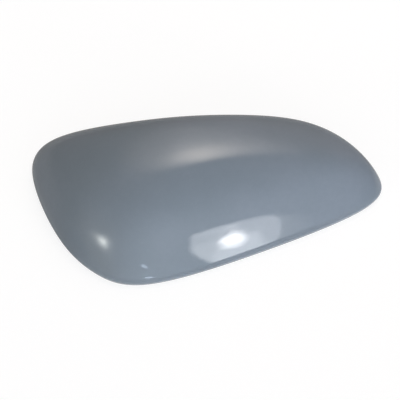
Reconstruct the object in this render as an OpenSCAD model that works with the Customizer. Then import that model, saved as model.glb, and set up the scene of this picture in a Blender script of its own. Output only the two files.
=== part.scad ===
// Cover of a car's wing mirror: one injection-moulded shell with its clips, pins and ribs.
// Millimetres. It lies open side down on its rim: +X is the nose, +Z the crown, -Y the near side.

/* [Rim and belt] */
// Length of the belt, the widest ring, from the broad end to the nose
belt_l = 240; // [220:1:270]
// Width of the belt
belt_w = 134; // [122:1:150]
// Height of the belt above the rim
belt_h = 6; // [4:0.5:9]
// How far the rim is rolled in under the belt
rim_roll = 2.2; // [1:0.1:2.4]
// Height up to which the rim stays rolled in
roll_h = 3.5; // [2:0.1:3.9]
// Wall thickness
wall = 2.8; // [2.5:0.1:3.6]

/* [Wall ring] */
// Height of the ring that guides the steep walls
wall_h = 24; // [20:1:28]
// How far the wall ring lies inside the belt at the nose
wall_in_nose = 10; // [6:1:16]
// The same at the broad end
wall_in_back = 4; // [2:1:9]
// The same on the near side
wall_in_near = 14; // [10:1:18]
// The same on the far side
wall_in_far = 2; // [1:1:7]

/* [Shoulder ring] */
// How far the shoulder ring lies below the crown
shoulder_drop = 14; // [10:1:18]
// How far the shoulder ring lies inside the belt at the nose
shoulder_in_nose = 44; // [36:1:52]
// The same at the broad end
shoulder_in_back = 30; // [24:1:36]
// The same on the near side
shoulder_in_near = 31; // [26:1:36]
// The same on the far side
shoulder_in_far = 22; // [17:1:28]
// How far the shoulder ring falls from its middle to the nose
shoulder_fall = 4; // [0:1:7]

/* [Crown] */
// Height of the crown above the rim
cap_h = 60; // [54:1:68]
// Length of the crown's flat top ring
crown_l = 44; // [34:1:56]
// Width of the crown's flat top ring
crown_w = 33; // [26:1:40]
// Where the crown stands along the cap
crown_x = -20; // [-30:1:-8]
// Where the crown stands across the cap
crown_y = 12; // [6:1:16]

/* [Clips] */
// Distance of each clip from the belt
clip_inset = 19; // [16:1:24]
// Width of a clip's tongue
clip_w = 12; // [8:1:16]
// Thickness of a clip's tongue
clip_t = 2; // [1.6:0.1:2.6]
// Height of a clip's free end above the rim
clip_end = 8; // [6:1:12]
// How far the catch stands out from the tongue
catch_out = 2.2; // [1.4:0.1:3]
// Height of the catch's lead-in slope
catch_lead = 5; // [3:0.5:7]
// Height of the web that stiffens a tongue's root
web_h = 24; // [20:1:28]
// Thickness of webs and ribs
rib_t = 1.6; // [1.2:0.1:2.2]

/* [Locating pins] */
// Distance of the rear pin from the broad end
rear_pin_in = 52; // [44:1:60]
// Place of the rear pin across the cap
rear_pin_y = 8; // [0:1:14]
// Distance of the front pin from the nose
front_pin_in = 66; // [60:1:76]
// Place of the front pin across the cap
front_pin_y = -4; // [-10:1:2]
// Radius of a pin
pin_r = 2.5; // [2:0.1:3.5]
// Free length of a pin below its post
pin_l = 12; // [8:1:16]
// Height of a pin's end above the rim
pin_end = 9; // [7:1:14]
// Width of the rounding at a pin's end
pin_tip = 0.8; // [0.5:0.1:1.2]
// Radius of a pin's post
post_r = 4.5; // [4:0.1:6]
// Length of the four fins round a post
fin_l = 10; // [8:1:14]

/* [Ribs and edge tabs] */
// How far the ribs hang below the inside of the crown
rib_depth = 9; // [6:1:14]
// Distance between the cross ribs
rib_pitch = 36; // [28:1:44]
// Width of an edge tab
tab_w = 10; // [6:1:14]
// Thickness of an edge tab
tab_t = 1.8; // [1.4:0.1:2.4]
// How far an edge tab stands in from the wall
tab_l = 5; // [3:0.5:7]
// Height of an edge tab above the rim
tab_h = 7; // [6:0.5:10]

/* [Hidden] */
primer_grey = [0.49, 0.53, 0.57];

// The belt's shape in half lengths and half widths, anticlockwise from the nose
BELT_SHAPE = [[1.03, -0.22], [0.81, 0.53], [0.14, 0.72], [-0.75, 0.98], [-1.01, 1.00],
              [-0.93, -0.20], [-0.77, -0.69], [-0.56, -1.01], [0.15, -0.84], [0.97, -0.55]];
points_round = len(BELT_SHAPE);

// Facets: columns between two control points, and rows from the rim to the crown
steps = 8;
columns = points_round * steps;
outer_rows = 20;
inner_rows = 13;

// Share of the rim's roll that is left at roll_h, and how far two rings have turned to an oval
roll_left = 0.2;
wall_round = 0.1;
shoulder_round = 0.4;

// Share of the way up at which the inside starts to follow the outside
inside_from = 0.22;

// Where the clips and the edge tabs stand round the belt, in shares of the way round
CLIP_STATIONS = [0.06, 0.19, 0.34, 0.52, 0.69, 0.85];
TAB_STATIONS = [0.13, 0.27, 0.43, 0.61, 0.77, 0.92];
rear_pin = [-belt_l / 2 + rear_pin_in, rear_pin_y, 0];
front_pin = [belt_l / 2 - front_pin_in, front_pin_y, 0];
ribs_across = 3;

// Fittings run up past the shell's top and are trimmed by it
cut = 20;
past_top = cap_h + cut;
$fn = 48;

// Smooth closed curve round a list of control points
function curve_point(p, i, t) =
    let (n = len(p))
    ((1 - t) ^ 3 * p[(i + n - 1) % n] + (3 * t ^ 3 - 6 * t ^ 2 + 4) * p[i]
    + (-3 * t ^ 3 + 3 * t ^ 2 + 3 * t + 1) * p[(i + 1) % n] + t ^ 3 * p[(i + 2) % n]) / 6;
function closed_curve(p) =
    [for (i = [0:len(p) - 1]) for (k = [0:steps - 1]) curve_point(p, i, k / steps)];

// A shape's points, moved and sized so that its smooth curve is exactly 2 long and 2 wide
function fitted(shape) =
    let (curve = closed_curve(shape), xs = [for (q = curve) q.x], ys = [for (q = curve) q.y])
    let (mid = [max(xs) + min(xs), max(ys) + min(ys)] / 2)
    let (half = [max(xs) - min(xs), max(ys) - min(ys)] / 2)
    [for (q = shape) [(q.x - mid.x) / half.x, (q.y - mid.y) / half.y]];
belt_shape = fitted(BELT_SHAPE);
oval = fitted([for (i = [0:points_round - 1]) [cos(i * 360 / points_round), sin(i * 360 / points_round)]]);

// A ring of control points from its lowest and highest x and y, its height, its fall towards the
// nose, and its roundness: 0 keeps the belt's shape and 1 is an oval
function ring(x0, x1, y0, y1, z, fall, roundness) =
    [for (i = [0:points_round - 1])
        let (s = belt_shape[i] * (1 - roundness) + oval[i] * roundness)
        [(x0 + x1 + (x1 - x0) * s.x) / 2, (y0 + y1 + (y1 - y0) * s.y) / 2, z - fall * s.x]];
function inside_belt(nose, back, near, far, z, fall, roundness) =
    ring(-belt_l / 2 + back, belt_l / 2 - nose, -belt_w / 2 + near, belt_w / 2 - far, z, fall, roundness);
function even_inside(inset, z) = inside_belt(inset, inset, inset, inset, z, 0, 0);

rings = [
    even_inside(rim_roll, 0),
    even_inside(rim_roll * roll_left, roll_h),
    even_inside(0, belt_h),
    inside_belt(wall_in_nose, wall_in_back, wall_in_near, wall_in_far, wall_h, 0, wall_round),
    inside_belt(shoulder_in_nose, shoulder_in_back, shoulder_in_near, shoulder_in_far,
                cap_h - shoulder_drop, shoulder_fall, shoulder_round),
    ring(crown_x - crown_l / 2, crown_x + crown_l / 2, crown_y - crown_w / 2, crown_y + crown_w / 2,
         cap_h, 0, 1),
    [for (i = [1:points_round]) [crown_x, crown_y, cap_h]]
];
ring_curves = [for (r = rings) closed_curve(r)];

// Weights of the rings for a point at share t of the way up
spans = len(rings) - 3;
knots = [0, 0, 0, for (i = [0:spans]) i / spans, 1, 1, 1];
function share(a, b) = b == 0 ? 0 : a / b;
function weight(i, degree, t) =
    degree == 0 ? ((knots[i] <= t && t < knots[i + 1]) ? 1 : 0)
    : share(t - knots[i], knots[i + degree] - knots[i]) * weight(i, degree - 1, t)
    + share(knots[i + degree + 1] - t, knots[i + degree + 1] - knots[i + 1]) * weight(i + 1, degree - 1, t);
function weights(t) = [for (j = [0:len(rings) - 1]) t < 1 ? weight(j, 3, t) : (j == len(rings) - 1 ? 1 : 0)];
function row(t) =
    let (w = weights(t))
    [for (k = [0:columns - 1]) w * [for (c = ring_curves) c[k]]];

// The row at share t, moved in by a distance square to the surface
tiny = 0.001;
function row_inside(t, depth) =
    let (here = row(t), above = row(t + tiny))
    [for (k = [0:columns - 1])
        let (along = here[(k + 1) % columns] - here[(k + columns - 1) % columns])
        let (out = cross(along, above[k] - here[k]))
        here[k] - depth * out / norm(out)];
function at_height(points, z) = [for (q = points) [q.x, q.y, z]];

// A closed solid from rows of points with a flat base and a top point
module lofted(rows, top) {
    n = len(rows);
    points = [for (r = rows) each r, top];
    sides = [for (j = [0:n - 2]) for (k = [0:columns - 1])
        let (a = j * columns + k, b = j * columns + (k + 1) % columns)
        each [[a, a + columns, b], [b, a + columns, b + columns]]];
    last = (n - 1) * columns;
    cap = [for (k = [0:columns - 1]) [last + k, n * columns, last + (k + 1) % columns]];
    base = [[for (k = [0:columns - 1]) k]];
    polyhedron(points, concat(base, sides, cap));
}

// The outside runs on a little below the rim, where the seat plane cuts it
module outside() {
    first = row(1 / outer_rows);
    below = 2 * row(0) - first;
    lofted([below, first, for (j = [2:outer_rows - 1]) row(j / outer_rows)], [crown_x, crown_y, cap_h]);
}

// The inside keeps the wall's thickness above the belt and drops straight to the rim
module inside() {
    rise = (1 - inside_from) / inner_rows;
    rows = [for (j = [0:inner_rows - 1]) row_inside(inside_from + j * rise, wall)];
    lofted([at_height(rows[0], -cut / 2), each rows], [crown_x, crown_y, cap_h - wall]);
}

// Moves a fitting to a station round the belt, inset from it, with +X pointing out to the wall
module at_station(way_round, inset) {
    belt = ring_curves[2];
    k = floor(way_round * columns);
    along = belt[(k + 1) % columns] - belt[(k + columns - 1) % columns];
    translate([belt[k].x, belt[k].y, 0])
        rotate([0, 0, atan2(-along.x, along.y)])
        translate([-inset, 0, 0])
        children();
}

// Spring tongue with a catch and a stiffening web; its root runs up into the shell
module clip() {
    catch_top = clip_end + catch_lead;
    rotate([90, 0, 0])
        linear_extrude(clip_w, center = true)
        polygon([[-clip_t, clip_end], [0, clip_end], [catch_out, catch_top], [0, catch_top],
                 [0, past_top], [-clip_t, past_top]]);
    translate([-clip_t, -rib_t / 2, web_h])
        cube([clip_t + clip_inset, rib_t, past_top]);
}

// Locating pin on a post with four fins
module pin() {
    post_end = pin_end + pin_l;
    translate([0, 0, pin_end])
        cylinder(h = pin_tip, r1 = pin_r - pin_tip, r2 = pin_r);
    translate([0, 0, pin_end + pin_tip])
        cylinder(h = past_top, r = pin_r);
    translate([0, 0, post_end])
        cylinder(h = past_top, r = post_r);
    for (turn = [0, 90])
        rotate([0, 0, turn])
        translate([-fin_l, -rib_t / 2, post_end + post_r])
        cube([2 * fin_l, rib_t, past_top]);
}

// Ribs under the crown: one spine from pin to pin, and the cross ribs
module ribs() {
    rib_z = cap_h - wall - rib_depth;
    spine = front_pin - rear_pin;
    translate(rear_pin)
        rotate([0, 0, atan2(spine.y, spine.x)])
        translate([0, -rib_t / 2, rib_z])
        cube([norm(spine), rib_t, past_top]);
    for (i = [0:ribs_across - 1])
        translate([crown_x + (i - (ribs_across - 1) / 2) * rib_pitch - rib_t / 2, -belt_w / 2, rib_z])
        cube([rib_t, belt_w, past_top]);
}

// Small ledge just inside the rim
module edge_tab() {
    translate([0, -tab_w / 2, tab_h])
        cube([wall + tab_l, tab_w, tab_t]);
}

module fittings() {
    for (u = CLIP_STATIONS)
        at_station(u, clip_inset) clip();
    for (u = TAB_STATIONS)
        at_station(u, wall + tab_l) edge_tab();
    for (place = [rear_pin, front_pin])
        translate(place) pin();
    ribs();
}

// One moulding: the shell, with the fittings trimmed to its inner surface and the seat cut flat
module mirror_cover() {
    color(primer_grey)
        difference() {
            outside();
            difference() {
                inside();
                fittings();
            }
            translate([-belt_l, -belt_w, -cut])
                cube([2 * belt_l, 2 * belt_w, cut]);
        }
}

mirror_cover();
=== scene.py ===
# A primed wing mirror cover, lying open side down on a pale table in soft studio light.
# Sizes are in millimetres and named as the maker would name them; meshes are made in metres.

import math

import bmesh
import bpy
import numpy as np
from mathutils import Matrix, Vector


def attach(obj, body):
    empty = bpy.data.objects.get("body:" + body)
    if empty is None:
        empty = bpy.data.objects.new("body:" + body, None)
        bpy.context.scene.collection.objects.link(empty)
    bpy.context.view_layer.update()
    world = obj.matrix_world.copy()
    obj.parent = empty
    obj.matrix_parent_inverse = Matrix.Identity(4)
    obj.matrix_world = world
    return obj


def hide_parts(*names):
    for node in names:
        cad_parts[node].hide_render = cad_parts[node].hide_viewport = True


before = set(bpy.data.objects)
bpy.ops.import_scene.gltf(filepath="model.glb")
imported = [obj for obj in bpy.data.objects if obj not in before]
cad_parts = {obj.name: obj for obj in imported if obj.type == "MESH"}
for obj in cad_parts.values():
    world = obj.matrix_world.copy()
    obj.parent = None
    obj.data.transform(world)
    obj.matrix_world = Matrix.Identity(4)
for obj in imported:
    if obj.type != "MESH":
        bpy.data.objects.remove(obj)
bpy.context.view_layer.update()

MM = 0.001


# Camera: where it aims, the side it looks from, how high, and how much of the view the cover fills

AIM = Vector((-13.67, -24.58, 30.22)) * MM
CAMERA_TURN = -13.2
CAMERA_HEIGHT = 50.46
CAMERA_ROLL = -0.89
CAMERA_DISTANCE = 1.331
PIXELS_PER_MM = 1.4548
IMAGE_PIXELS = 400
SENSOR = 36.0


def place_camera():
    turn, height, roll = (math.radians(a) for a in (CAMERA_TURN, CAMERA_HEIGHT, CAMERA_ROLL))
    away = Vector((math.sin(turn) * math.cos(height), -math.cos(turn) * math.cos(height), math.sin(height)))
    level = Vector((math.cos(turn), math.sin(turn), 0.0))
    upward = away.cross(level)
    right = level * math.cos(roll) + upward * math.sin(roll)
    up = upward * math.cos(roll) - level * math.sin(roll)
    lens = bpy.data.cameras.new("camera")
    lens.sensor_width = SENSOR
    lens.lens = PIXELS_PER_MM * CAMERA_DISTANCE / MM * SENSOR / IMAGE_PIXELS
    lens.clip_start = 0.05
    lens.clip_end = 50.0
    camera = bpy.data.objects.new("camera", lens)
    facing = Matrix((right, up, away)).transposed().to_4x4()
    camera.matrix_world = Matrix.Translation(AIM + away * CAMERA_DISTANCE) @ facing
    bpy.context.scene.collection.objects.link(camera)
    bpy.context.scene.camera = camera


place_camera()


# The cover's form: seven rings of guide points, from the rim up to the crown

BELT_LENGTH = 240.0
BELT_WIDTH = 134.0
BELT_HEIGHT = 6.0
RIM_ROLL = 2.2
ROLL_HEIGHT = 3.5
ROLL_LEFT = 0.2
WALL = 2.8
CAP_HEIGHT = 60.0
CROWN = Vector((-20.0, 12.0, CAP_HEIGHT))
CROWN_HALF_LENGTH = 22.0
CROWN_HALF_WIDTH = 16.5

BELT_SHAPE = [(1.03, -0.22), (0.81, 0.53), (0.14, 0.72), (-0.75, 0.98), (-1.01, 1.00),
              (-0.93, -0.20), (-0.77, -0.69), (-0.56, -1.01), (0.15, -0.84), (0.97, -0.55)]
GUIDES = len(BELT_SHAPE)
# How finely a closed curve is measured, and how finely stations are placed on it
CURVE_STEPS = 80


def curve_point(guides, way_round):
    """The point of a smooth closed curve at a share of the way round its guide points."""
    count = len(guides)
    place = (way_round % 1.0) * count
    i = int(place)
    t = place - i
    pull = ((1 - t) ** 3, 3 * t ** 3 - 6 * t ** 2 + 4, -3 * t ** 3 + 3 * t ** 2 + 3 * t + 1, t ** 3)
    return sum(pull[k] / 6 * guides[(i + k - 1) % count] for k in range(4))


def fitted(shape):
    """Guide points moved and sized so that their smooth curve is 2 long and 2 wide."""
    shape = np.array(shape, float)
    curve = np.array([curve_point(shape, k / CURVE_STEPS) for k in range(CURVE_STEPS)])
    low, high = curve.min(0), curve.max(0)
    return (shape - (low + high) / 2) / ((high - low) / 2)


belt_shape = fitted(BELT_SHAPE)
oval = fitted([(math.cos(a), math.sin(a)) for a in np.arange(GUIDES) * math.tau / GUIDES])


def guide_ring(x0, x1, y0, y1, z, fall=0.0, roundness=0.0):
    """A ring of guide points between two lengths and two widths, from the belt's own shape to an oval."""
    s = belt_shape * (1 - roundness) + oval * roundness
    along = (x0 + x1 + (x1 - x0) * s[:, 0]) / 2
    across = (y0 + y1 + (y1 - y0) * s[:, 1]) / 2
    return np.stack([along, across, z - fall * s[:, 0]], 1)


def inside_belt(nose, back, near, far, z, fall=0.0, roundness=0.0):
    """A ring set in from the belt by so much at each of its four sides."""
    return guide_ring(-BELT_LENGTH / 2 + back, BELT_LENGTH / 2 - nose,
                      -BELT_WIDTH / 2 + near, BELT_WIDTH / 2 - far, z, fall, roundness)


RINGS = np.array([
    inside_belt(RIM_ROLL, RIM_ROLL, RIM_ROLL, RIM_ROLL, 0.0),
    inside_belt(*[RIM_ROLL * ROLL_LEFT] * 4, ROLL_HEIGHT),
    inside_belt(0.0, 0.0, 0.0, 0.0, BELT_HEIGHT),
    inside_belt(10.0, 4.0, 14.0, 2.0, 24.0, roundness=0.1),
    inside_belt(44.0, 30.0, 31.0, 22.0, 46.0, fall=4.0, roundness=0.4),
    guide_ring(CROWN.x - CROWN_HALF_LENGTH, CROWN.x + CROWN_HALF_LENGTH,
               CROWN.y - CROWN_HALF_WIDTH, CROWN.y + CROWN_HALF_WIDTH, CAP_HEIGHT, roundness=1.0),
    np.array([CROWN[:]] * GUIDES),
])
KNOTS = [0, 0, 0, 0, 0.25, 0.5, 0.75, 1, 1, 1, 1]


def ring_share(ring, degree, way_up):
    """How strongly a ring of guides pulls at a share of the way up."""
    if degree == 0:
        last = KNOTS[ring + 1] == 1 and way_up == 1
        return 1.0 if KNOTS[ring] <= way_up < KNOTS[ring + 1] or (last and KNOTS[ring] < 1) else 0.0
    share = 0.0
    if KNOTS[ring + degree] > KNOTS[ring]:
        share += (way_up - KNOTS[ring]) / (KNOTS[ring + degree] - KNOTS[ring]) * ring_share(ring, degree - 1, way_up)
    if KNOTS[ring + degree + 1] > KNOTS[ring + 1]:
        share += (KNOTS[ring + degree + 1] - way_up) / (KNOTS[ring + degree + 1] - KNOTS[ring + 1]) \
            * ring_share(ring + 1, degree - 1, way_up)
    return share


guides_at = {}


def outer_point(way_up, way_round):
    """A point of the outer face, in millimetres."""
    way_up = round(min(way_up, 1.0), 7)
    if way_up not in guides_at:
        guides_at[way_up] = np.tensordot([ring_share(r, 3, way_up) for r in range(len(RINGS))], RINGS, 1)
    return Vector(curve_point(guides_at[way_up], way_round))


# Steps round and up that tell which way the outer face looks, and how far up it counts as level
STEP_ROUND = 0.004
STEP_UP = 0.0005
LEVEL_FROM = 0.9995


def wall_point(way_up, way_round, depth):
    """A point inside the wall, square to the outer face and that deep under it."""
    if way_up > LEVEL_FROM:
        return CROWN - Vector((0, 0, depth))
    here = outer_point(way_up, way_round)
    along = outer_point(way_up, way_round + STEP_ROUND) - outer_point(way_up, way_round - STEP_ROUND)
    upward = outer_point(way_up + STEP_UP, way_round) - here
    return here - depth * along.cross(upward).normalized()


# Pieces of mesh; corners closer together than this are one

WELD = 0.002


def finish_mesh(bm, name, smooth=True):
    bmesh.ops.remove_doubles(bm, verts=bm.verts, dist=WELD * MM)
    bmesh.ops.recalc_face_normals(bm, faces=bm.faces)
    for face in bm.faces:
        face.smooth = smooth
    mesh = bpy.data.meshes.new(name)
    bm.to_mesh(mesh)
    bm.free()
    piece = bpy.data.objects.new(name, mesh)
    bpy.context.scene.collection.objects.link(piece)
    return piece


COLUMNS = 180
OUTSIDE = 96
STRAIGHT = 6
INSIDE = 48
INSIDE_FROM = 0.22
RIM_EASE = 0.35
# Above 1, the outside's rows lie closer together towards the rim
ROW_CROWDING = 1.15
RIM_PLANE = 1e-7
FLAT_FROM = 0.9


def section_point(row, way_round, depth):
    """A point on the cover's section: down the outside from the crown, round the rim, up the inside."""
    if row <= OUTSIDE:
        down = 1 - row / OUTSIDE
        return outer_point(down ** ROW_CROWDING, way_round)
    if row <= OUTSIDE + 1 + STRAIGHT:
        foot = wall_point(INSIDE_FROM, way_round, depth)
        foot.z *= (row - OUTSIDE - 1) / STRAIGHT
        return foot
    up = INSIDE_FROM + (1 - INSIDE_FROM) * (row - OUTSIDE - 1 - STRAIGHT) / (INSIDE - 1)
    return wall_point(up, way_round, depth)


def make_housing():
    """A flat sheet wrapped round the cover's section, closed at its seam and at both crowns."""
    rows = OUTSIDE + STRAIGHT + INSIDE
    bm = bmesh.new()
    bmesh.ops.create_grid(bm, x_segments=COLUMNS, y_segments=rows, size=0.5)
    sprayed = bm.verts.layers.float.new("sprayed")
    for v in bm.verts:
        row = round((v.co.y + 0.5) * rows)
        v.co = section_point(row, v.co.x + 0.5, WALL) * MM
        v[sprayed] = 1.0 if row <= OUTSIDE else 0.0
    bmesh.ops.remove_doubles(bm, verts=bm.verts, dist=WELD * MM)
    bmesh.ops.recalc_face_normals(bm, faces=bm.faces)
    lip = [e for e in bm.edges if max(abs(v.co.z) for v in e.verts) < RIM_PLANE
           and min(abs(f.normal.z) for f in e.link_faces) < FLAT_FROM]
    bmesh.ops.bevel(bm, geom=lip, offset=RIM_EASE * MM, offset_type="OFFSET", segments=3, profile=0.5,
                    affect="EDGES", material=-1)
    for v in bm.verts:
        if v.co.z < RIM_EASE * MM:
            v[sprayed] = 1.0
    return finish_mesh(bm, "cover_shell")


# Fittings inside the cover, run up past the wall and trimmed in its middle

PAST_TOP = 80.0
SOFT_EDGE = 0.25


def ease_edges(bm, verts):
    """Eases every edge of a shape that was just made."""
    edges = list({e for v in verts for e in v.link_edges})
    bmesh.ops.bevel(bm, geom=edges, offset=SOFT_EDGE * MM, offset_type="OFFSET", segments=2, profile=0.5,
                    affect="EDGES", material=-1)


def block(bm, low, high, place=Matrix.Identity(4)):
    """A moulded block with eased edges between two corners."""
    made = bmesh.ops.create_cube(bm, size=1.0)["verts"]
    low, high = Vector(low), Vector(high)
    for v in made:
        v.co = place @ (Vector([(low[i] + high[i]) / 2 + v.co[i] * (high[i] - low[i]) for i in range(3)]) * MM)
    ease_edges(bm, made)


def station(way_round, inset):
    """The place on the belt a share of the way round, set in from it, with +X pointing out to the wall."""
    k = math.floor(way_round * CURVE_STEPS)
    belt = RINGS[2]
    here = Vector(curve_point(belt, k / CURVE_STEPS))
    along = Vector(curve_point(belt, (k + 1) / CURVE_STEPS)) - Vector(curve_point(belt, (k - 1) / CURVE_STEPS))
    turn = Matrix.Rotation(math.atan2(-along.x, along.y), 4, "Z")
    set_in = Matrix.Translation(Vector((-inset, 0, 0)) * MM)
    return Matrix.Translation(Vector((here.x, here.y, 0)) * MM) @ turn @ set_in


CLIP_STATIONS = (0.06, 0.19, 0.34, 0.52, 0.69, 0.85)
TAB_STATIONS = (0.13, 0.27, 0.43, 0.61, 0.77, 0.92)
CLIP_INSET = 19.0
CLIP_WIDTH = 12.0
CLIP_THICKNESS = 2.0
CLIP_END = 8.0
CATCH_OUT = 2.2
CATCH_LEAD = 5.0
WEB_HEIGHT = 24.0
WEB_SET_IN = 0.4
TAB_LENGTH = 5.0
TAB_HALF_WIDTH = 5.0
TAB_FOOT = 7.0
TAB_TOP = 8.8
RIB_THICKNESS = 1.6
RIB_DEPTH = 9.0
RIB_PITCH = 36.0
RIB_REACH = 60.0
REAR_PIN = Vector((-68.0, 8.0, 0.0))
FRONT_PIN = Vector((54.0, -4.0, 0.0))
PIN_RADIUS = 2.5
PIN_LENGTH = 12.0
PIN_END = 9.0
PIN_TIP = 0.8
TIP_SIDE = 0.25
TIP_RISE = 0.3
POST_RADIUS = 4.5
POST_EASE = 0.4
FIN_LENGTH = 10.0
EJECTOR_PLACES = ((-38, 28), (-38, -6), (-2, 26), (-2, -8), (-74, 32), (-82, -10), (34, 8), (74, 6))
PAD_RADIUS = 3.0
PAD_PROUD = 0.3


def add_clip(bm, place):
    """A spring tongue with a catch on its outer side, and the web that stiffens its root."""
    top = CLIP_END + CATCH_LEAD
    outline = [(-CLIP_THICKNESS, CLIP_END), (0, CLIP_END), (CATCH_OUT, top), (0, top),
               (0, PAST_TOP), (-CLIP_THICKNESS, PAST_TOP)]
    side = [bm.verts.new(place @ (Vector((x, -CLIP_WIDTH / 2, z)) * MM)) for x, z in outline]
    face = bm.faces.new(side)
    grown = bmesh.ops.extrude_face_region(bm, geom=[face])["geom"]
    across = place.to_3x3() @ Vector((0, CLIP_WIDTH * MM, 0))
    far_side = [g for g in grown if isinstance(g, bmesh.types.BMVert)]
    bmesh.ops.translate(bm, verts=far_side, vec=across)
    ease_edges(bm, side + far_side)
    block(bm, (-CLIP_THICKNESS + WEB_SET_IN, -RIB_THICKNESS / 2, WEB_HEIGHT),
          (CLIP_INSET, RIB_THICKNESS / 2, PAST_TOP), place)


def add_pin(bm, centre):
    """A locating pin on its post, turned from one half section, and four fins that brace the post."""
    post_end = PIN_END + PIN_LENGTH
    half = [(0, PIN_END), (PIN_RADIUS - PIN_TIP, PIN_END), (PIN_RADIUS - TIP_SIDE, PIN_END + TIP_RISE),
            (PIN_RADIUS, PIN_END + PIN_TIP), (PIN_RADIUS, post_end - POST_EASE), (PIN_RADIUS + POST_EASE, post_end),
            (POST_RADIUS - POST_EASE, post_end), (POST_RADIUS, post_end + POST_EASE), (POST_RADIUS, PAST_TOP),
            (0, PAST_TOP)]
    line = [bm.verts.new((centre + Vector((x, 0, z))) * MM) for x, z in half]
    edges = [bm.edges.new((a, b)) for a, b in zip(line, line[1:])]
    bmesh.ops.spin(bm, geom=line + edges, cent=centre * MM, axis=(0, 0, 1), angle=math.tau, steps=40, use_merge=True)
    for turn in (0, 90):
        place = Matrix.Translation(centre * MM) @ Matrix.Rotation(math.radians(turn), 4, "Z")
        block(bm, (-FIN_LENGTH, -RIB_THICKNESS / 2, post_end + POST_RADIUS),
              (FIN_LENGTH, RIB_THICKNESS / 2, PAST_TOP), place)


def add_ribs(bm):
    """A spine rib from pin to pin, and three ribs across it, all ending at one depth under the crown."""
    foot = CAP_HEIGHT - WALL - RIB_DEPTH
    spine = FRONT_PIN - REAR_PIN
    place = Matrix.Translation(REAR_PIN * MM) @ Matrix.Rotation(math.atan2(spine.y, spine.x), 4, "Z")
    block(bm, (0, -RIB_THICKNESS / 2, foot), (spine.length, RIB_THICKNESS / 2, PAST_TOP), place)
    for k in (-1, 0, 1):
        x = CROWN.x + k * RIB_PITCH
        block(bm, (x - RIB_THICKNESS / 2, -RIB_REACH, foot), (x + RIB_THICKNESS / 2, RIB_REACH, PAST_TOP))


def trimmed(piece, core):
    """Keeps what lies inside the core, so that each fitting ends in the middle of the wall."""
    cut = piece.modifiers.new("trim", "BOOLEAN")
    cut.operation = "INTERSECT"
    cut.solver = "EXACT"
    cut.use_self = True
    cut.object = core
    bpy.context.view_layer.update()
    shape = bpy.data.meshes.new_from_object(piece.evaluated_get(bpy.context.evaluated_depsgraph_get()))
    piece.modifiers.clear()
    old, piece.data = piece.data, shape
    bpy.data.meshes.remove(old)
    return piece


def make_core():
    """The space under the middle of the wall, closed flat in the rim's plane."""
    rows = STRAIGHT + INSIDE
    bm = bmesh.new()
    bmesh.ops.create_grid(bm, x_segments=COLUMNS // 2, y_segments=rows, size=0.5)
    for v in bm.verts:
        row = round((v.co.y + 0.5) * rows)
        v.co = section_point(OUTSIDE + row, v.co.x + 0.5, WALL / 2) * MM if row else Vector((0, 0, 0))
    bmesh.ops.remove_doubles(bm, verts=bm.verts, dist=WELD * MM)
    return finish_mesh(bm, "core")


def add_ejector_pads(bm, housing):
    """Round pads where the mould's pins push the cover out, each just proud of the lowest place under its edge."""
    for x, y in EJECTOR_PLACES:
        middle = Vector((x, y, 0))
        edge = [middle + Matrix.Rotation(k * math.tau / 8, 3, "Z") @ Vector((PAD_RADIUS, 0, 0)) for k in range(8)]
        low = min(housing.ray_cast(p * MM, Vector((0, 0, 1)))[1].z for p in edge) - PAD_PROUD * MM
        high = PAST_TOP * MM
        bmesh.ops.create_cone(bm, cap_ends=True, segments=32, radius1=PAD_RADIUS * MM, radius2=PAD_RADIUS * MM,
                              depth=high - low, matrix=Matrix.Translation((x * MM, y * MM, (low + high) / 2)))


def make_fittings(housing):
    """All the fittings inside the cover, as one mesh."""
    bm = bmesh.new()
    for way_round in CLIP_STATIONS:
        add_clip(bm, station(way_round, CLIP_INSET))
    for way_round in TAB_STATIONS:
        block(bm, (0, -TAB_HALF_WIDTH, TAB_FOOT), (WALL + TAB_LENGTH, TAB_HALF_WIDTH, TAB_TOP),
              station(way_round, WALL + TAB_LENGTH))
    add_pin(bm, REAR_PIN)
    add_pin(bm, FRONT_PIN)
    add_ribs(bm)
    add_ejector_pads(bm, housing)
    fittings = finish_mesh(bm, "fittings")
    core = make_core()
    trimmed(fittings, core)
    bpy.data.objects.remove(core)
    return fittings


# Edges turned by more than this are sharp; eased edges turn by less at each of their strips
SHARP_FROM = 50.0
# Less mist settles on the fittings than on the wall beside them
MIST_ON_FITTINGS = -0.15


def joined(first, second, name):
    """Two pieces as one, because the cover is one moulding."""
    bm = bmesh.new()
    bm.from_mesh(first.data)
    wall = bm.verts[:]
    bm.from_mesh(second.data)
    sprayed = bm.verts.layers.float["sprayed"]
    for v in set(bm.verts) - set(wall):
        v[sprayed] = MIST_ON_FITTINGS
    for piece in (first, second):
        bpy.data.objects.remove(piece)
    mesh = bpy.data.meshes.new(name)
    bm.to_mesh(mesh)
    bm.free()
    mesh.set_sharp_from_angle(angle=math.radians(SHARP_FROM))
    piece = bpy.data.objects.new(name, mesh)
    bpy.context.scene.collection.objects.link(piece)
    flats = piece.modifiers.new("flats stay flat", "WEIGHTED_NORMAL")
    flats.keep_sharp = True
    return piece


# Finishes

def colour(hex_code):
    """An sRGB hex colour as the linear colour that the shader wants."""
    parts = [int(hex_code[i:i + 2], 16) / 255 for i in (1, 3, 5)]
    return tuple(c / 12.92 if c <= 0.04045 else ((c + 0.055) / 1.055) ** 2.4 for c in parts) + (1.0,)


def add(tree, kind, settings=None, **links):
    """Adds a node; settings are its own fields, and links are sockets by name or, as in i0, by number, each given a
    value or another node's output."""
    node = tree.nodes.new(kind)
    for field, value in (settings or {}).items():
        setattr(node, field, value)
    for socket, value in links.items():
        name = socket.replace("_", " ")
        target = node.inputs[int(name[1:])] if name[0] == "i" and name[1:].isdigit() else node.inputs[name]
        if isinstance(value, bpy.types.NodeSocket):
            tree.links.new(value, target)
        else:
            target.default_value = value
    return node


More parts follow.
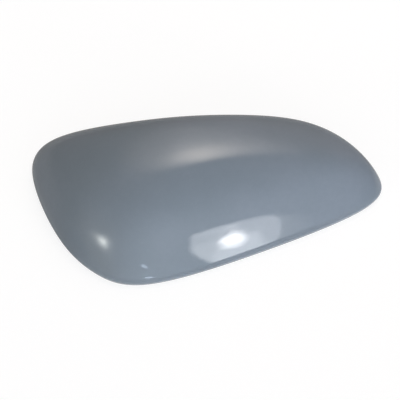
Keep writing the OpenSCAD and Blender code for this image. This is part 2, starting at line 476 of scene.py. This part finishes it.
def empty_material(name):
    material = bpy.data.materials.new(name)
    material.use_nodes = True
    material.node_tree.nodes.clear()
    return material, material.node_tree


def primer_over_plastic():
    """Grey sanding primer sprayed on moulded ABS: a smooth sealed film with a faint orange peel and a few dust nibs,
    glossy enough to mirror a lamp. The inside was not sprayed: its bare dark plastic shows the mould's fine matt
    grain, and near the rim a dry mist of droplets that blew round the edge."""
    material, tree = empty_material("grey_primer_on_moulded_abs")
    place = add(tree, "ShaderNodeTexCoord").outputs["Object"]

    def noise(size, detail=0.0):
        return add(tree, "ShaderNodeTexNoise", Vector=place, Scale=1 / (size * MM), Detail=detail).outputs["Fac"]

    def between(value, low, high, at_low=0.0, at_high=1.0):
        return add(tree, "ShaderNodeMapRange", {"interpolation_type": "SMOOTHSTEP"}, i0=value, i1=low, i2=high,
                   i3=at_low, i4=at_high).outputs[0]

    def mixed(share, none, full):
        return add(tree, "ShaderNodeMix", {"data_type": "RGBA"}, i0=share, i6=none, i7=full).outputs[2]

    # Film thickness drifts over about 60 mm, and pigment flocks a little over 4 mm and 0.8 mm
    film = mixed(between(noise(60, 2.0), 0.3, 0.7), colour("#7a858e"), colour("#808a94"))
    film = mixed(between(noise(4, 1.0), 0.35, 0.65, 0.0, 0.15), film, colour("#76808a"))
    film = mixed(between(noise(0.8), 0.6, 0.75, 0.0, 0.12), film, colour("#8a949d"))
    # The moulding compound is dark grey, a shade paler where it flowed
    plastic = mixed(between(noise(25, 3.0), 0.35, 0.7), colour("#46494c"), colour("#505356"))
    # Mist: thick at the rim, nearly gone 14 mm up the inside, in droplets drawn 0.4 mm wide so that they show
    height = add(tree, "ShaderNodeSeparateXYZ", Vector=place).outputs["Z"]
    reach = between(height, 0.5 * MM, 14 * MM, 0.80, 0.18)
    sprayed = add(tree, "ShaderNodeAttribute", {"attribute_name": "sprayed"}).outputs["Fac"]
    reach = add(tree, "ShaderNodeMath", {"operation": "ADD"}, i0=reach, i1=sprayed).outputs[0]
    droplets = add(tree, "ShaderNodeMath", {"operation": "SUBTRACT"}, i0=reach, i1=noise(0.4, 2.0)).outputs[0]
    mist = between(droplets, -0.06, 0.10)
    face = between(sprayed, 0.45, 0.55)
    covered = add(tree, "ShaderNodeMath", {"operation": "MAXIMUM"}, i0=mist, i1=face).outputs[0]
    # Gloss: the wet film outside is nearly a mirror, dry mist and grained plastic are matt
    gloss = between(noise(18, 2.0), 0.3, 0.7, 0.022, 0.045)
    matt = between(noise(3, 1.0), 0.3, 0.7, 0.48, 0.58)
    roughness = add(tree, "ShaderNodeMix", i0=face, i2=matt, i3=gloss).outputs[0]
    # Orange peel, waves about 2.5 mm across and a few thousandths of a millimetre high, with rare dust nibs 0.5 mm wide
    peel = noise(2.5, 1.0)
    nibs = between(noise(0.9), 0.80, 0.86, 0.0, 0.6)
    relief = add(tree, "ShaderNodeMath", {"operation": "ADD"}, i0=peel, i1=nibs).outputs[0]
    film_bump = add(tree, "ShaderNodeBump", Height=relief, Strength=0.03, Distance=0.1 * MM).outputs["Normal"]
    # Mould grain, etched about 0.4 mm across and 0.03 mm deep
    grain = noise(0.4, 2.0)
    grain_bump = add(tree, "ShaderNodeBump", Height=grain, Strength=0.6, Distance=0.05 * MM).outputs["Normal"]
    normal = add(tree, "ShaderNodeMix", {"data_type": "VECTOR"}, i0=face, i4=grain_bump, i5=film_bump).outputs[1]
    shader = add(tree, "ShaderNodeBsdfPrincipled", Base_Color=mixed(covered, plastic, film), Roughness=roughness,
                 IOR=1.5, Normal=normal)
    add(tree, "ShaderNodeOutputMaterial", Surface=shader.outputs[0])
    return material


# The cover

housing = make_housing()
fittings = make_fittings(housing)
cover = joined(housing, fittings, "cover")
cover.data.materials.clear()
cover.data.materials.append(primer_over_plastic())
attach(cover, "root")
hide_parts("mirror_cover")


# Table, lamps and background

TABLE_REACH = 3.0
TABLE_LIFT = 0.85
# How bright the cover mirrors the table on its dim and on its bright side, the way to the bright side, and between
# which distances from the middle it brightens, in metres
TABLE_MIRRORED = (0.35, 1.0)
BRIGHT_SIDE = -80.0
BRIGHT_FROM = (0.0, 0.05)
# The share of the white backdrop that the cover mirrors
BACKDROP_MIRRORED = 0.18


def direction(turn, height):
    """The way out to a place in the studio, from how far round and how high it stands in degrees."""
    turn, height = math.radians(turn), math.radians(height)
    return Vector((math.cos(height) * math.cos(turn), math.cos(height) * math.sin(turn), math.sin(height)))


def seen_share(tree, rays):
    """Whether a ray sees the surroundings themselves: from the camera or through glass."""
    return add(tree, "ShaderNodeMath", {"operation": "MAXIMUM"}, i0=rays["Is Camera Ray"],
               i1=rays["Is Transmission Ray"]).outputs[0]


def white_table():
    """A matt white table top. Seen directly it is lifted to white and keeps the cover's soft shadow, the cover mirrors
    it bright on the window's side and dim on the other, and from below it is clear."""
    material, tree = empty_material("white_table")
    rays = add(tree, "ShaderNodeLightPath").outputs
    face = add(tree, "ShaderNodeNewGeometry").outputs
    place = add(tree, "ShaderNodeTexCoord").outputs["Object"]
    matt = add(tree, "ShaderNodeBsdfDiffuse", Color=colour("#f4f4f4"))
    soft = add(tree, "ShaderNodeBsdfDiffuse", Color=colour("#7f7f7f"))
    glow = add(tree, "ShaderNodeEmission", Color=(1, 1, 1, 1), Strength=TABLE_LIFT)
    lifted = add(tree, "ShaderNodeAddShader", i0=soft.outputs[0], i1=glow.outputs[0])
    toward = add(tree, "ShaderNodeVectorMath", {"operation": "DOT_PRODUCT"}, i0=place, i1=direction(BRIGHT_SIDE, 0.0))
    lit = add(tree, "ShaderNodeMapRange", {"interpolation_type": "SMOOTHSTEP"}, i0=toward.outputs["Value"],
              i1=BRIGHT_FROM[0], i2=BRIGHT_FROM[1], i3=TABLE_MIRRORED[0], i4=TABLE_MIRRORED[1])
    mirrored = add(tree, "ShaderNodeEmission", Color=(1, 1, 1, 1), Strength=lit.outputs[0])
    lamp_side = add(tree, "ShaderNodeMixShader", i0=rays["Is Glossy Ray"], i1=matt.outputs[0], i2=mirrored.outputs[0])
    top = add(tree, "ShaderNodeMixShader", i0=seen_share(tree, rays), i1=lamp_side.outputs[0], i2=lifted.outputs[0])
    clear = add(tree, "ShaderNodeBsdfTransparent")
    both = add(tree, "ShaderNodeMixShader", i0=face["Backfacing"], i1=top.outputs[0], i2=clear.outputs[0])
    add(tree, "ShaderNodeOutputMaterial", Surface=both.outputs[0])
    return material


def make_table():
    """The table top is cut out under the cover, where its rim starts to touch, so that the hollow can be looked into
    from below."""
    rim = inside_belt(*[RIM_ROLL + RIM_EASE] * 4, 0.0)
    bm = bmesh.new()
    bmesh.ops.create_circle(bm, segments=COLUMNS, radius=TABLE_REACH)
    far = bm.edges[:]
    near = bmesh.ops.extrude_edge_only(bm, edges=far)["geom"]
    for v in [g for g in near if isinstance(g, bmesh.types.BMVert)]:
        v.co = Vector(curve_point(rim, math.atan2(v.co.y, v.co.x) / math.tau)) * MM
    table = finish_mesh(bm, "table", smooth=False)
    table.data.materials.append(white_table())


# The studio's soft walls: name, turn, height, how narrow, and colour times brightness
WALLS = {
    "front_right_wall": (-60.0, 8.0, 2, (0.88, 0.95, 1.17)),
    "front_wall": (-90.0, 8.0, 6, (1.05, 1.20, 1.14)),
    "front_left_wall": (-120.0, 8.0, 6, (0.42, 0.42, 0.56)),
    "left_wall": (-150.0, 8.0, 6, (0.85, 0.76, 0.61)),
    "back_wall": (60.0, 35.0, 6, (0.68, 0.61, 0.60)),
}
UNDER_TABLE = 0.6


def make_studio():
    """Soft light from the studio's walls, brightest towards each wall's middle; the camera sees plain white."""
    world = bpy.data.worlds.new("studio")
    bpy.context.scene.world = world
    world.use_nodes = True
    tree = world.node_tree
    tree.nodes.clear()
    way = add(tree, "ShaderNodeTexCoord").outputs["Generated"]
    height = add(tree, "ShaderNodeSeparateXYZ", Vector=way).outputs["Z"]
    above = add(tree, "ShaderNodeMath", {"operation": "GREATER_THAN"}, i0=height, i1=0.0).outputs[0]
    below = add(tree, "ShaderNodeMath", {"operation": "LESS_THAN"}, i0=height, i1=0.0).outputs[0]
    under = add(tree, "ShaderNodeMath", {"operation": "MULTIPLY"}, i0=below, i1=UNDER_TABLE).outputs[0]
    light = add(tree, "ShaderNodeBackground", Color=(1, 1, 1, 1), Strength=under).outputs[0]
    for turn, up, narrow, tint in WALLS.values():
        facing = add(tree, "ShaderNodeVectorMath", {"operation": "DOT_PRODUCT"}, i0=way,
                     i1=direction(turn, up)).outputs["Value"]
        lit = add(tree, "ShaderNodeMath", {"operation": "MAXIMUM"}, i0=facing, i1=0.0).outputs[0]
        fall = add(tree, "ShaderNodeMath", {"operation": "POWER"}, i0=lit, i1=narrow).outputs[0]
        kept = add(tree, "ShaderNodeMath", {"operation": "MULTIPLY"}, i0=fall, i1=above).outputs[0]
        wall = add(tree, "ShaderNodeBackground", Color=(*tint, 1), Strength=kept).outputs[0]
        light = add(tree, "ShaderNodeAddShader", i0=light, i1=wall).outputs[0]
    rays = add(tree, "ShaderNodeLightPath").outputs
    mirrored = add(tree, "ShaderNodeMath", {"operation": "MULTIPLY"}, i0=rays["Is Glossy Ray"],
                   i1=BACKDROP_MIRRORED)
    seen = add(tree, "ShaderNodeMath", {"operation": "MAXIMUM"}, i0=seen_share(tree, rays), i1=mirrored.outputs[0])
    white = add(tree, "ShaderNodeBackground", Color=(1, 1, 1, 1), Strength=1.0).outputs[0]
    mixed = add(tree, "ShaderNodeMixShader", i0=seen.outputs[0], i1=light, i2=white)
    add(tree, "ShaderNodeOutputWorld", Surface=mixed.outputs[0])


# The lit window: where it stands as the point it lights, turn, height and distance
WINDOW = ((5, -50, 18), -67.0, 9.3, 1.50)
# Its patches of light, one in front of the other: colour, the middle and how bright it is there, and the outlines from
# the inside out, each with how bright it is along them, across and up in metres
WINDOW_LIGHTS = {
    "window": ((1.0, 1.02, 1.06), (0.0, 0.1), 4.2, (
        (4.2, ((0.155, 0.18), (0.075, 0.18), (0.005, 0.19), (-0.065, 0.215), (-0.13, 0.23), (-0.175, 0.255),
               (-0.185, 0.25), (-0.16, 0.205), (-0.125, 0.12), (-0.105, 0.00), (-0.085, -0.25), (0.12, -0.25),
               (0.14, 0.01), (0.155, 0.12), (0.16, 0.165))),
        (0.0, ((0.165, 0.19), (0.08, 0.195), (0.01, 0.21), (-0.065, 0.24), (-0.14, 0.25), (-0.20, 0.275),
               (-0.235, 0.27), (-0.18, 0.185), (-0.14, 0.07), (-0.125, -0.10), (-0.11, -0.25), (0.135, -0.25),
               (0.15, -0.02), (0.165, 0.12), (0.175, 0.175))))),
    "window_lower": ((1.0, 1.03, 1.06), (-0.02, 0.1), 1.2, (
        (1.2, ((0.08, 0.13), (0.03, 0.165), (-0.04, 0.19), (-0.10, 0.21), (-0.18, 0.245), (-0.155, 0.20),
               (-0.115, 0.10), (-0.10, -0.25), (0.09, -0.25), (0.09, 0.0))),
        (0.0, ((0.10, 0.15), (0.035, 0.18), (-0.04, 0.205), (-0.10, 0.225), (-0.205, 0.26), (-0.17, 0.185),
               (-0.13, 0.07), (-0.12, -0.25), (0.11, -0.25), (0.11, 0.0))))),
    "window_middle": ((1.0, 1.03, 1.06), (0.0, 0.0), 1.8, (
        (1.8, ((0.075, 0.12), (0.07, -0.10), (0.065, -0.25), (-0.065, -0.25), (-0.065, 0.00), (-0.06, 0.14),
               (0.0, 0.16))),
        (0.0, ((0.10, 0.15), (0.095, -0.10), (0.09, -0.25), (-0.095, -0.25), (-0.095, 0.00), (-0.09, 0.17),
               (0.0, 0.18))))),
    "window_jamb": ((1.0, 1.0, 1.0), (0.16, 0.05), 1.3, (
        (1.3, ((0.18, 0.16), (0.165, 0.05), (0.15, -0.10), (0.145, -0.25), (0.14, -0.25), (0.145, -0.02), (0.16, 0.12),
               (0.17, 0.17))),
        (0.0, ((0.23, 0.165), (0.29, 0.08), (0.29, -0.10), (0.25, -0.25), (0.13, -0.25), (0.135, -0.02), (0.15, 0.12),
               (0.165, 0.18))))),
    "window_core": ((1.0, 1.0, 1.0), (0.005, 0.155), 40.0, (
        (13.0, ((0.035, 0.15), (0.03, 0.135), (0.02, 0.125), (0.0, 0.13), (-0.02, 0.155),
                (-0.04, 0.18), (-0.03, 0.185), (-0.005, 0.18), (0.015, 0.175), (0.03, 0.165))),
        (0.0, ((0.06, 0.135), (0.05, 0.09), (0.03, 0.045), (0.0, 0.055), (-0.04, 0.125),
               (-0.07, 0.19), (-0.05, 0.195), (-0.01, 0.185), (0.025, 0.18), (0.05, 0.165))))),
}
# How far each patch stands in front of the one before it
PATCH_GAP = 0.01


def panel_place(target, turn, height, distance):
    """Where a panel stands so that it faces the point it lights, with X across and Y up."""
    out = direction(turn, height)
    level = Vector((0, 0, 1)).cross(out).normalized()
    facing = Matrix((level, out.cross(level), out)).transposed().to_4x4()
    return Matrix.Translation(Vector(target) * MM + out * distance) @ facing


def stage_light(bm, name, place, material):
    """A panel of light at its place in the studio, mirrored by the cover and not seen by the camera."""
    panel = finish_mesh(bm, name, smooth=False)
    panel.data.materials.append(material)
    panel.matrix_world = place
    panel.visible_camera = False


def fading_light(name, tint):
    """Light as bright as the mesh's own brightness, added to what lies behind it."""
    material, tree = empty_material(name)
    level = add(tree, "ShaderNodeAttribute", {"attribute_name": "brightness"}).outputs["Fac"]
    glow = add(tree, "ShaderNodeEmission", Color=(*tint, 1), Strength=level)
    clear = add(tree, "ShaderNodeBsdfTransparent")
    both = add(tree, "ShaderNodeAddShader", i0=glow.outputs[0], i1=clear.outputs[0])
    add(tree, "ShaderNodeOutputMaterial", Surface=both.outputs[0])
    return material


def make_window():
    """Each patch is a fan round its middle with a band for each further outline."""
    target, turn, height, distance = WINDOW
    for order, (name, (tint, middle, brightest, outlines)) in enumerate(WINDOW_LIGHTS.items()):
        bm = bmesh.new()
        level = bm.verts.layers.float.new("brightness")
        centre = bm.verts.new((*middle, 0))
        centre[level] = brightest
        inner = None
        for brightness, outline in outlines:
            ring = [bm.verts.new((across, up, 0)) for across, up in outline]
            for k, v in enumerate(ring):
                v[level] = brightness
                bm.faces.new((inner[k - 1], inner[k], v, ring[k - 1]) if inner else (centre, v, ring[k - 1]))
            inner = ring
        place = panel_place(target, turn, height, distance - order * PATCH_GAP)
        stage_light(bm, name, place, fading_light(name + "_light", tint))


# Round soft boxes: the point they light, turn, height, distance, the panel's middle, radius and soft edge, and its hot
# spot: place, half length, half width, roll, how fast it fades, and brightness
SOFT_BOXES = {
    "overhead": ((-5, -5, 57), 25.6, 74.5, 1.40, (0.768, -0.229), 1.07, 0.48,
                 (-0.241, -0.027), 0.188, 0.188, 0.0, 1.0, (25.0, 22.3, 19.6)),
    "side_spot": ((-86, -40, 25), -152.5, 19.8, 1.40, (0.0, 0.0), 0.90, 0.40,
                  (0.001, 0.013), 0.243, 0.086, 26.6, 2.5, (11.3, 11.7, 11.1)),
}


def make_soft_boxes():
    """Each box glows within its soft edge, and most at its hot spot."""
    for name, (target, turn, height, distance, middle, radius, edge, hot_spot, long, short, roll, fade,
               light) in SOFT_BOXES.items():
        material, tree = empty_material(name + "_light")
        place = add(tree, "ShaderNodeTexCoord").outputs["Object"]
        reach = add(tree, "ShaderNodeVectorMath", {"operation": "DISTANCE"}, i0=place,
                    i1=(*middle, 0)).outputs["Value"]
        inside = add(tree, "ShaderNodeMapRange", {"interpolation_type": "SMOOTHSTEP"}, i0=reach, i1=radius,
                     i2=radius - edge, i3=0.0, i4=1.0).outputs[0]
        hot = add(tree, "ShaderNodeMapping", {"vector_type": "TEXTURE"}, Vector=place, Location=(*hot_spot, 0),
                  Rotation=(0, 0, math.radians(roll)), Scale=(long, short, 1)).outputs[0]
        away = add(tree, "ShaderNodeVectorMath", {"operation": "LENGTH"}, i0=hot).outputs["Value"]
        square = add(tree, "ShaderNodeMath", {"operation": "MULTIPLY_ADD"}, i0=away, i1=away, i2=1.0).outputs[0]
        faded = add(tree, "ShaderNodeMath", {"operation": "POWER"}, i0=square, i1=-fade).outputs[0]
        strength = add(tree, "ShaderNodeMath", {"operation": "MULTIPLY"}, i0=faded, i1=inside).outputs[0]
        glow = add(tree, "ShaderNodeEmission", Color=(*light, 1), Strength=strength)
        clear = add(tree, "ShaderNodeBsdfTransparent")
        both = add(tree, "ShaderNodeAddShader", i0=glow.outputs[0], i1=clear.outputs[0])
        add(tree, "ShaderNodeOutputMaterial", Surface=both.outputs[0])
        bm = bmesh.new()
        bmesh.ops.create_circle(bm, cap_ends=True, segments=64, radius=radius,
                                matrix=Matrix.Translation((*middle, 0)))
        stage_light(bm, name, panel_place(target, turn, height, distance), material)


# Lamps: the point they light, turn, height, distance, place across and up, width, height, roll, brightness and tint
LAMPS = {
    "upper_glint": ((-62, -59, 15), -97.0, 23.0, 1.40, (0.040, -0.013), 0.170, 0.034, -20.0, 4.5, (0.8, 0.93, 1.15)),
    "lower_glint": ((-60, -64, 8), -93.1, 9.9, 1.40, (0.030, -0.040), 0.200, 0.120, -35.0, 6.0, (0.8, 0.93, 1.15)),
}


def make_lamps():
    for name, (target, turn, height, distance, shift, width, tall, roll, brightness, tint) in LAMPS.items():
        lamp = bpy.data.lights.new(name, "AREA")
        lamp.shape = "ELLIPSE"
        lamp.size = width
        lamp.size_y = tall
        # The watts that make an ellipse of this size as bright as a surface of that strength
        lamp.energy = brightness * math.pi ** 2 / 4 * width * tall
        lamp.color = tint
        stand = bpy.data.objects.new(name, lamp)
        stand.matrix_world = panel_place(target, turn, height, distance) @ Matrix.Translation((*shift, 0)) \
            @ Matrix.Rotation(math.radians(roll), 4, "Z")
        stand.visible_camera = False
        bpy.context.scene.collection.objects.link(stand)


make_table()
make_studio()
make_window()
make_soft_boxes()
make_lamps()
bpy.context.scene.view_settings.view_transform = "Standard"
